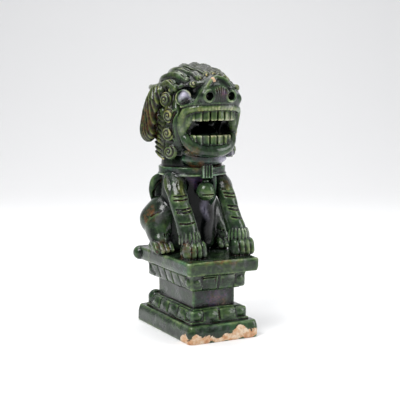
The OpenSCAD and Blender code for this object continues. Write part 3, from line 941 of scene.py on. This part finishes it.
front = -foot_d / 2
PAINT = {
    "clay": [
        ((-32, front, 3), (18, 8, 7), 1.0),
        ((-40, front + 8, 3), (8, 16, 7), 1.0),
        ((18, front, 7), (13, 6, 9), 1.0),
        ((2, front, 3), (30, 6, 4.5), 1.0),
        ((36, front, 4), (12, 10, 5), 1.0),
        (dog(-9, -53, 191), (3.4, 3.4, 4.0), 1.2),
    ],
    "rust": [
        ((-10, -seat_d / 2, seat_top), (18, 5, 2.6), 0.9),
        ((10, -seat_d / 2, seat_top - 2), (9, 5, 2.4), 0.7),
        (dog(-48, 22, 42), (8, 10, 9), 0.9),
        (dog(-24, -34, 116), (9, 8, 8), 0.8),
        (dog(-53, 14, 150), (7, 12, 18), 0.55),
        (dog(0, -62, 177), (8, 5, 9), 0.7),
        (dog(-34, -62, 8), (7, 8, 14), 0.5),
        (dog(30, -30, 82), (9, 12, 10), 0.5),
        ((6, -waist_d / 2, waist_low[2] + 6), (10, 4, 6), 0.9),
        (dog(-15, -30, 99), (9, 9, 5), 0.8),
        (dog(-44, -6, 10), (9, 10, 8), 0.6),
        (dog(-33, -44, 8), (6, 8, 12), 0.8),
    ],
    "teal": [
        (dog(-12, -36, 108), (16, 10, 9), 0.8),
        (dog(-40, -14, 96), (12, 16, 10), 0.5),
        (dog(0, -44, 122), (24, 9, 7), 0.5),
        ((-44, -48, seat_low + 6), (8, 18, 10), 0.7),
        ((0, -69, 14), (26, 9, 6), 0.5),
        ((-16, -waist_d / 2, 44), (10, 4, 10), 0.9),
        ((22, -waist_d / 2, 44), (6, 4, 10), 0.8),
        (dog(-20, -20, 196), (22, 22, 12), 0.4),
    ],
    "violet": [
        ((-2, -waist_d / 2, waist_low[2] + 8), (9, 4, 9), 1.0),
        ((12, -waist_d / 2, waist_low[2] + 13), (8, 4, 5), 0.9),
        (dog(4, -60, 176), (4, 5, 7), 0.5),
        (dog(-8, -16, 82), (8, 8, 7), 0.7),
    ],
    "olive": [
        (dog(-44, -12, 168), (10, 12, 12), 0.8),
        (dog(-46, 0, 130), (10, 14, 26), 0.6),
        (dog(10, -30, 205), (26, 22, 10), 0.6),
        (dog(-32, -30, 78), (10, 12, 16), 0.6),
        ((0, -seat_d / 2, seat_low + 10), (44, 6, 8), 0.35),
        (dog(-36, -50, 180), (12, 10, 10), 0.35),
    ],
    # Painted highlights, lightening the glaze on faces that look to the front: the forepaws and forelegs, the
    # bell, the fronts of the lower petal course and the seat, the upper lip and the top of the nose.
    "painted_highlight": [
        (dog(-24, -58, 8), (20, 10, 12), 0.8),
        (dog(38, -50, 10), (18, 10, 14), 0.9),
        (dog(38, -50, 30), (14, 10, 14), 0.9),
        (dog(32, -48, 55), (14, 12, 22), 0.7),
        (dog(0, -38, 71), (12, 8, 12), 0.9),
        (dog(-24, -56, 36), (12, 10, 16), 0.5),
        ((0, -58, foot_top + 8), (40, 10, 9), 0.5),
        (dog(0, -54, 164), (34, 14, 7), 0.7),
        (dog(0, -60, 190), (16, 10, 9), 0.4),
        ((0, -seat_d / 2, seat_low + 8), (44, 6, 9), 0.5),
    ],
    # Painted shade: the recess between the forelegs, the inside of the mouth, the nostrils, under the brows,
    # the right ear, the back of the body, and the pupil and lower lid of the right eye.
    "painted_shade": [
        (dog(-4, -8, 42), (28, 14, 40), 1.0),
        (dog(0, -16, 144), (28, 22, 18), 1.0),
        (dog(13.5, -56, 176.3), (5, 7, 5), 1.0),
        (dog(-13.5, -56, 176.3), (5, 7, 5), 1.0),
        (dog(-50, 16, 140), (12, 20, 26), 0.35),
        (dog(0, 30, 60), (40, 30, 50), 0.3),
        (dog(-34, -40, 169), (6, 6, 4.5), 1.0),
        (dog(-24, -32, 183), (13, 10, 5), 0.8),
        (dog(24, -32, 183), (13, 10, 5), 0.8),
    ],
    # Painted highlights and reflections in a lilac grey: a highlight on each eye and a reflection on the
    # chest between the forelegs; the patch on the left of the neck above the collar is partly a painted
    # reflection and partly a light lilac fold of the collar.
    "painted_reflection": [
        (dog(-35, -38, 177), (6, 6, 5), 1.0),
        (dog(35, -38, 177), (6, 6, 5), 1.0),
        (dog(16, -30, 106), (13, 10, 5), 0.9),
        (dog(29, -22, 108), (8, 10, 5), 0.9),
        (dog(8, -11, 48), (6, 5, 12), 0.8),
    ],
}

# ---------- turning the field into meshes ----------


def sample(values, spots_at):
    """Values of a lattice field between its points, at index coordinates."""
    base = np.floor(spots_at).astype(int)
    base = np.clip(base, 0, np.array(values.shape) - 2)
    t = np.clip(spots_at - base, 0, 1).astype(np.float32)
    i, j, k = base.T
    total = np.zeros(len(spots_at), np.float32)
    for a in (0, 1):
        for b in (0, 1):
            for c in (0, 1):
                weight = np.abs(1 - a - t[:, 0]) * np.abs(1 - b - t[:, 1]) * np.abs(1 - c - t[:, 2])
                total += weight * values[i + a, j + b, k + c]
    return total


def slope(values, index, step):
    """Unit gradient of a lattice field."""
    out = np.empty((len(index), 3), np.float32)
    for axis in range(3):
        shift = np.zeros(3)
        shift[axis] = step
        out[:, axis] = sample(values, index + shift) - sample(values, index - shift)
    return out / np.maximum(np.linalg.norm(out, axis=1, keepdims=True), 1e-9)


ROUND = [np.array(d) - 1 for d in np.ndindex(3, 3, 3)]
ROUND = [d / np.linalg.norm(d) for d in ROUND if d.any()]


def hollowness(index, reach):
    """Positive in the clay's hollows and negative on its ridges, around points on the skin."""
    total = np.zeros(len(index), np.float32)
    for way in ROUND:
        total += sample(skin, index + way * (reach / STEP))
    return -total / (len(ROUND) * reach)


def make_mesh(number, node, cut):
    """The closed mesh of one member: the clay that it has claimed, with its glaze regions and its painted
    shade, highlights and reflections.
    """
    grown = tuple(slice(max(c.start - 2, 0), min(c.stop + 2, n)) for c, n in zip(cut, size))
    who, other = owner[grown], rival[grown]
    ahead = near[grown] - after[grown]
    own = np.where(who == number, ahead, np.where(other == number, -ahead, 8.0)) / 2
    field = np.clip(np.maximum(skin[grown], own - LUTE), -3, 3).astype(np.float32)
    for axis in range(3):
        for end in (0, -1):
            edge = [slice(None)] * 3
            edge[axis] = end
            field[tuple(edge)] = 3
    grid = openvdb.FloatGrid(3.0)
    grid.copyFromArray(field)
    points, triangles, quads = grid.convertToPolygons(0.0, FLATTEN)
    start = np.array([g.start for g in grown])
    index = points + start
    where = origin + index * STEP
    on_skin = np.abs(sample(skin, index)) < 0.3
    normals = np.where(on_skin[:, None], slope(skin, index, 1.0), slope(field, points, 1.0))

    mesh = bpy.data.meshes.new(node + "_clay")
    mesh.from_pydata((where * 0.001).tolist(), [], quads.tolist() + triangles.tolist())
    mesh.update()
    mesh.polygons.foreach_set("use_smooth", np.ones(len(mesh.polygons), bool))
    mesh.normals_split_custom_set_from_vertices(normals.tolist())
    fine = hollowness(index, 1.3)
    broad = hollowness(index, 4.5)
    columns = {"fine": fine, "broad": broad}
    for kind, places in PAINT.items():
        columns[kind] = spots(where, places)
    for kind, values in columns.items():
        mesh.attributes.new(kind, "FLOAT", "POINT").data.foreach_set("value", values.astype(np.float32))
    piece = bpy.data.objects.new(node + "_clay", mesh)
    bpy.context.scene.collection.objects.link(piece)
    return piece


# ---------- glazes ----------


class Nodes:
    """Short names for building a material's nodes."""

    def __init__(self, name):
        self.material = bpy.data.materials.new(name)
        self.material.use_nodes = True
        self.tree = self.material.node_tree
        self.tree.nodes.clear()
        self.place = self.add("ShaderNodeTexCoord").outputs["Object"]

    def add(self, kind, **settings):
        node = self.tree.nodes.new(kind)
        for key, value in settings.items():
            setattr(node, key, value)
        return node

    def put(self, socket, value):
        if isinstance(value, bpy.types.NodeSocket):
            self.tree.links.new(value, socket)
        else:
            socket.default_value = value

    def math(self, operation, a, b=0.0, clamp=False):
        node = self.add("ShaderNodeMath", operation=operation, use_clamp=clamp)
        self.put(node.inputs[0], a)
        self.put(node.inputs[1], b)
        return node.outputs[0]

    def noise(self, millimetres, detail=3.0, rough=0.55, warp=0.0):
        node = self.add("ShaderNodeTexNoise")
        self.put(node.inputs["Vector"], self.place)
        node.inputs["Scale"].default_value = 1000 / millimetres
        node.inputs["Detail"].default_value = detail
        node.inputs["Roughness"].default_value = rough
        node.inputs["Distortion"].default_value = warp
        return node.outputs["Fac"]

    def spread(self, value, low, high):
        """Stretches low..high to 0..1."""
        node = self.add("ShaderNodeMapRange")
        self.put(node.inputs["Value"], value)
        node.inputs["From Min"].default_value = low
        node.inputs["From Max"].default_value = high
        return node.outputs["Result"]

    def paint(self, kind):
        return self.add("ShaderNodeAttribute", attribute_name=kind).outputs["Fac"]

    def ramp(self, value, stops):
        node = self.add("ShaderNodeValToRGB")
        self.put(node.inputs["Fac"], value)
        elements = node.color_ramp.elements
        while len(elements) < len(stops):
            elements.new(0.5)
        for element, (position, colour) in zip(elements, stops):
            element.position = position
            element.color = (*colour, 1)
        return node.outputs["Color"]

    def mix(self, amount, a, b, blend="MIX"):
        node = self.add("ShaderNodeMix", data_type="RGBA", blend_type=blend)
        self.put(node.inputs["Factor"], amount)
        self.put(node.inputs["A"], a if isinstance(a, bpy.types.NodeSocket) else (*a, 1))
        self.put(node.inputs["B"], b if isinstance(b, bpy.types.NodeSocket) else (*b, 1))
        return node.outputs["Result"]


GREEN = [
    (0.0, (0.001, 0.002, 0.002)), (0.25, (0.006, 0.011, 0.006)), (0.46, (0.018, 0.037, 0.016)),
    (0.66, (0.050, 0.094, 0.032)), (0.84, (0.125, 0.18, 0.070)), (1.0, (0.36, 0.39, 0.25)),
]
CLAY = [(0.3, (0.45, 0.18, 0.08)), (0.45, (0.60, 0.36, 0.2)), (0.6, (0.74, 0.6, 0.45))]


def stoneware(name, lift=0.0, gloss=0.1, tint=None, mirror=0.42):
    """Glossy running glaze over coarse clay, with painted shade, highlights and reflections where the mesh's
    attributes say. lift makes the whole glaze lighter or darker.
    """
    n = Nodes(name)
    blotch = n.noise(26, 3.0, 0.6, 0.6)
    run = n.noise(9, 4.0, 0.6, 1.2)
    speck = n.noise(1.6, 2.0, 0.5)
    fine = n.paint("fine")
    broad = n.paint("broad")
    # Glaze is thin and light on ridges and pools and darkens in hollows, and this term also paints shade into
    # the creases and hollows.
    glaze_pool_and_shade = n.math("ADD", n.math("MULTIPLY", fine, -1.5), n.math("MULTIPLY", broad, -0.7))
    level = n.math("ADD", glaze_pool_and_shade, 0.34 + lift)
    level = n.math("ADD", level, n.math("MULTIPLY", n.math("SUBTRACT", blotch, 0.5), 0.55))
    level = n.math("ADD", level, n.math("MULTIPLY", n.math("SUBTRACT", run, 0.5), 0.75))
    level = n.math("ADD", level, n.math("MULTIPLY", n.math("SUBTRACT", speck, 0.5), 0.12))
    # Painted highlights lighten the glaze on the front faces, and painted shade darkens it in recesses.
    level = n.math("ADD", level, n.math("MULTIPLY", n.paint("painted_highlight"), 0.17))
    level = n.math("SUBTRACT", level, n.math("MULTIPLY", n.paint("painted_shade"), 0.55), clamp=True)
    colour = n.ramp(level, GREEN)
    if tint is not None:
        colour = n.mix(1.0, colour, tint, "MULTIPLY")
    teal = n.math("MULTIPLY", n.paint("teal"), n.spread(run, 0.3, 0.6), clamp=True)
    teal = n.math("ADD", teal, n.math("MULTIPLY", n.spread(n.noise(34, 2.0), 0.52, 0.75), 0.4), clamp=True)
    colour = n.mix(teal, colour, n.mix(1.0, colour, (0.55, 1.05, 1.5), "MULTIPLY"))
    olive = n.math("MULTIPLY", n.paint("olive"), n.spread(blotch, 0.3, 0.65), clamp=True)
    olive = n.math("ADD", olive, n.math("MULTIPLY", n.spread(n.noise(19, 2.0), 0.55, 0.8), 0.5), clamp=True)
    colour = n.mix(olive, colour, n.mix(1.0, colour, (1.9, 1.2, 0.6), "MULTIPLY"))
    crevice = n.math("MULTIPLY", n.spread(fine, 0.10, 0.34), n.spread(run, 0.42, 0.6), clamp=True)
    rust = n.math("MULTIPLY", n.paint("rust"), n.spread(n.noise(5, 3.0, 0.6, 0.5), 0.38, 0.6), clamp=True)
    rust = n.math("MAXIMUM", rust, n.math("MULTIPLY", crevice, 0.6), clamp=True)
    colour = n.mix(rust, colour, n.ramp(speck, [(0.3, (0.05, 0.02, 0.008)), (0.7, (0.2, 0.085, 0.03))]))
    grey = n.math("MULTIPLY", n.spread(n.noise(15, 3.0, 0.6, 0.8), 0.52, 0.70), 0.6)
    # No grey tone where shade is painted.
    grey = n.math("SUBTRACT", grey, n.paint("painted_shade"), clamp=True)
    colour = n.mix(grey, colour, n.mix(level, (0.004, 0.004, 0.006), (0.22, 0.22, 0.23)))
    violet = n.math("MULTIPLY", n.paint("violet"), n.spread(n.noise(8, 2.0), 0.35, 0.6), clamp=True)
    colour = n.mix(violet, colour, n.ramp(speck, [(0.35, (0.05, 0.05, 0.13)), (0.65, (0.17, 0.06, 0.14))]))
    # Painted highlights and reflections, in a lilac grey.
    painted_reflection = n.math("MULTIPLY", n.paint("painted_reflection"), n.spread(run, 0.3, 0.42), clamp=True)
    colour = n.mix(painted_reflection, colour, n.ramp(run, [(0.3, (0.12, 0.11, 0.17)), (0.6, (0.42, 0.40, 0.50))]))
    ragged = n.math("SUBTRACT", n.noise(6, 4.0, 0.65, 0.8), 0.5)
    bare = n.math("ADD", n.paint("clay"), n.math("MULTIPLY", ragged, 1.3))
    bare = n.spread(bare, 0.47, 0.56)
    clay = n.ramp(n.noise(7, 4.0, 0.6), CLAY)
    clay = n.mix(n.math("MULTIPLY", n.spread(speck, 0.55, 0.75), 0.5), clay, (0.2, 0.1, 0.06))
    colour = n.mix(bare, colour, clay)

    shader = n.add("ShaderNodeBsdfPrincipled")
    n.put(shader.inputs["Base Color"], colour)
    sheen = n.math("ADD", n.math("MULTIPLY", n.spread(run, 0.3, 0.7), 0.12), gloss)
    n.put(shader.inputs["Roughness"], n.math("MAXIMUM", sheen, n.math("MULTIPLY", bare, 0.82)))
    shader.inputs["IOR"].default_value = 1.5
    shader.inputs["Specular IOR Level"].default_value = mirror
    bump = n.add("ShaderNodeBump")
    bump.inputs["Strength"].default_value = 0.35
    bump.inputs["Distance"].default_value = 0.0009
    grit = n.math("MULTIPLY", n.math("MULTIPLY", speck, bare), 1.2)
    height = n.math("ADD", n.math("MULTIPLY", n.noise(2.6, 2.0), 0.5), grit)
    n.put(bump.inputs["Height"], n.math("ADD", height, n.math("MULTIPLY", run, 0.8)))
    n.put(shader.inputs["Normal"], bump.outputs["Normal"])
    output = n.add("ShaderNodeOutputMaterial")
    n.put(output.inputs["Surface"], shader.outputs["BSDF"])
    return n.material


GLAZES = {
    "green_glaze": stoneware("green_glaze"),
    "clay_and_glaze": stoneware("clay_and_glaze", 0.02),
    "pedestal_glaze": stoneware("pedestal_glaze", 0.03),
    "dark_glaze": stoneware("dark_glaze", -0.06, 0.14, mirror=0.16),
    "olive_glaze": stoneware("olive_glaze", 0.0, 0.1, (1.25, 1.0, 0.75)),
    "pale_glaze": stoneware("pale_glaze", 0.12, 0.08, (1.15, 1.05, 0.95)),
    "eye_glaze": stoneware("eye_glaze", 0.05, 0.05),
    "teal_glaze": stoneware("teal_glaze", 0.0, 0.08, (0.8, 1.0, 1.15)),
}

slots = {part["node"]: part["material_slot"] for part in frame["record"]["subparts"]}
for number, (node, cut) in enumerate(members, 1):
    piece = make_mesh(number, node, cut)
    piece.data.materials.append(GLAZES[slots[node]])
    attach(piece, "root")
    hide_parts(node)

# ---------- floor, light and camera ----------


def plain(name, colour, rough):
    """An even matt material."""
    n = Nodes(name)
    shader = n.add("ShaderNodeBsdfPrincipled")
    shader.inputs["Base Color"].default_value = (*colour, 1)
    shader.inputs["Roughness"].default_value = rough
    output = n.add("ShaderNodeOutputMaterial")
    n.put(output.inputs["Surface"], shader.outputs["BSDF"])
    return n.material


azimuth = math.radians(-27.5)


def sweep(name, near_m, far_m, bend_m, tall_m, half_m):
    """A paper sweep: flat under the piece, then bent up behind it as the camera sees it."""
    line = [(-near_m, 0.0), (far_m - bend_m, 0.0)]
    for a in np.radians(np.arange(6, 91, 6)):
        line.append((far_m - bend_m + bend_m * math.sin(a), bend_m - bend_m * math.cos(a)))
    line.append((far_m, tall_m))
    corners, faces = [], []
    for away, height in line:
        for aside in (-half_m, half_m):
            x = -away * math.sin(azimuth) + aside * math.cos(azimuth)
            y = away * math.cos(azimuth) + aside * math.sin(azimuth)
            corners.append((x, y, height))
    for i in range(len(line) - 1):
        faces.append((2 * i, 2 * i + 1, 2 * i + 3, 2 * i + 2))
    mesh = bpy.data.meshes.new(name)
    mesh.from_pydata(corners, [], faces)
    mesh.polygons.foreach_set("use_smooth", [True] * len(faces))
    piece = bpy.data.objects.new(name, mesh)
    bpy.context.scene.collection.objects.link(piece)
    return piece


floor = sweep("paper_sweep", 3.0, 2.4, 1.2, 3.2, 4.0)
floor.data.materials.append(plain("white_paper", (0.9, 0.9, 0.905), 0.8))

world = bpy.data.worlds.new("studio")
bpy.context.scene.world = world
world.use_nodes = True
world.node_tree.nodes["Background"].inputs["Color"].default_value = (0.93, 0.94, 0.96, 1)
world.node_tree.nodes["Background"].inputs["Strength"].default_value = 0.34


def lamp(name, at, aim, sides_m, watts):
    """A white rectangular lamp at a point, turned to face another."""
    data = bpy.data.lights.new(name, "AREA")
    data.shape = "RECTANGLE"
    data.size, data.size_y = sides_m
    data.energy = watts
    light = bpy.data.objects.new(name, data)
    light.location = at
    light.rotation_euler = (Vector(aim) - Vector(at)).to_track_quat("-Z", "Y").to_euler()
    bpy.context.scene.collection.objects.link(light)


middle = (Vector(cad_low) + Vector(cad_high)) / 2
tall = cad_high[2] - cad_low[2]
behind = Vector((-math.sin(azimuth), math.cos(azimuth), 0))
lamp("paper", behind * 1.2 + Vector((0, 0, 2.6)), behind * 2.4 + Vector((0, 0, 1.0)), (2.4, 0.8), 11)
lamp("key", (-3.2 * tall, -1.6 * tall, 4.2 * tall), middle, (0.7, 0.7), 17)
lamp("fill", (3.6 * tall, -2.8 * tall, 2.0 * tall), middle, (0.6, 0.9), 8)
lamp("top", (0, 1.2 * tall, 5.4 * tall), middle, (1.6, 1.4), 19)

camera = bpy.data.cameras.new("camera")
camera.sensor_width = 36
camera.lens = 88.65
camera.shift_x = 0.011
camera.shift_y = -0.008
eye = bpy.data.objects.new("camera", camera)
away = 3.667 * tall
eye.location = (math.sin(azimuth) * away, -math.cos(azimuth) * away, 0.943 * tall)
aim = Vector((0, 0, tall / 2))
eye.rotation_euler = (aim - eye.location).to_track_quat("-Z", "Y").to_euler()
bpy.context.scene.collection.objects.link(eye)
bpy.context.scene.camera = eye
bpy.context.scene.view_settings.view_transform = "Standard"
